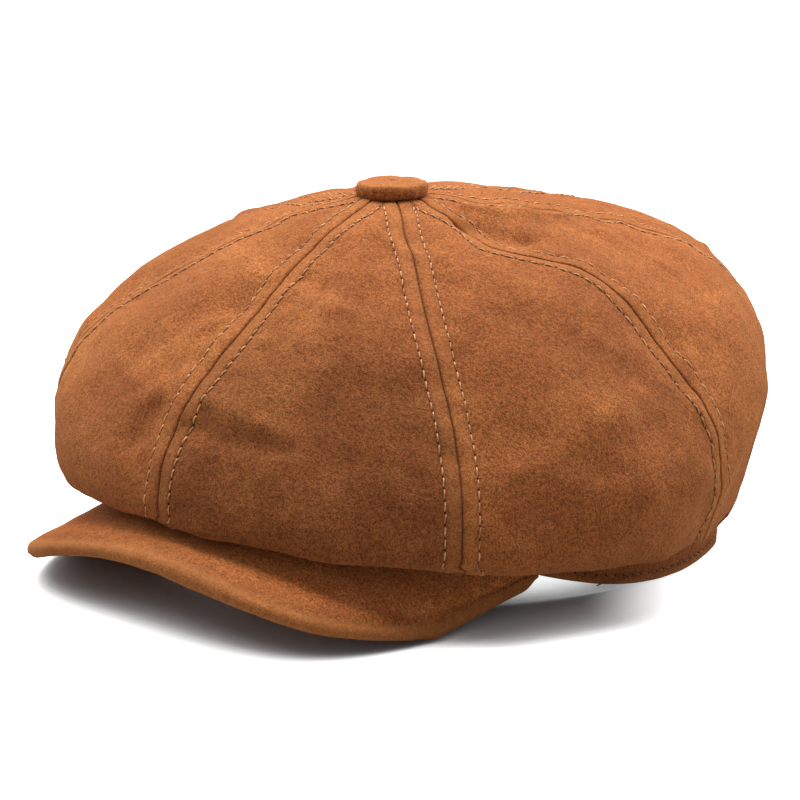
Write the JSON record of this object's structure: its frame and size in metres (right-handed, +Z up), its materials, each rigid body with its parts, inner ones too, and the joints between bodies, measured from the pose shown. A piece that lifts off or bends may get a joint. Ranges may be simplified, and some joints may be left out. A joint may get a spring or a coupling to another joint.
{
  "type": "newsboy cap",
  "caption": "Eight-panel suede newsboy cap with a full crown drooping over a headband, a short arched visor and a covered top button.",
  "frame": {"origin": "middle of the cap's footprint box, on the table plane it rests on", "axes": "+Z up, -Y towards the front of the visor, +X towards the wearer's left"},
  "size_m": [0.2334, 0.2548, 0.118],
  "materials": {
    "interlining": "non-woven stiffener, off white",
    "button_steel": "pressed sheet steel",
    "suede": "brushed suede, brown, mottled nap",
    "rivet_brass": "brass rivet",
    "lining_satin": "woven satin lining, dark brown",
    "sweatband_cotton": "cotton twill, dark brown",
    "thread": "tan topstitching thread",
    "board_plastic": "flexible visor board"
  },
  "bodies": {
    "cap": {"band_interlining": "interlining", "button_back_plate": "button_steel", "button_cover": "suede", "button_rivet": "rivet_brass", "button_shell": "button_steel", "button_washer": "button_steel", "crown_panel_front_left": "suede", "crown_panel_front_right": "suede", "crown_panel_rear_left": "suede", "crown_panel_rear_right": "suede", "crown_panel_side_left_front": "suede", "crown_panel_side_left_rear": "suede", "crown_panel_side_right_front": "suede", "crown_panel_side_right_rear": "suede", "headband": "suede", "lining_gore_front_left": "lining_satin", "lining_gore_front_right": "lining_satin", "lining_gore_rear_left": "lining_satin", "lining_gore_rear_right": "lining_satin", "lining_gore_side_left_front": "lining_satin", "lining_gore_side_left_rear": "lining_satin", "lining_gore_side_right_front": "lining_satin", "lining_gore_side_right_rear": "lining_satin", "sweatband": "sweatband_cotton", "topstitch_headband": "thread", "topstitch_seam_front": "thread", "topstitch_seam_front_left": "thread", "topstitch_seam_front_right": "thread", "topstitch_seam_left": "thread", "topstitch_seam_rear": "thread", "topstitch_seam_rear_left": "thread", "topstitch_seam_rear_right": "thread", "topstitch_seam_right": "thread"},
    "visor": {"visor_board": "board_plastic", "visor_bottom_cover": "suede", "visor_top_cover": "suede"}
  },
  "joints": [
    {"name": "visor_flex", "type": "hinge", "parent": "cap", "child": "visor", "pos_m": [0, -0.0604, 0.0165], "axis": [1, 0, 0], "range_deg": [-2.5, 12], "stiffness_Nm_per_rad": 1.5}
  ]
}
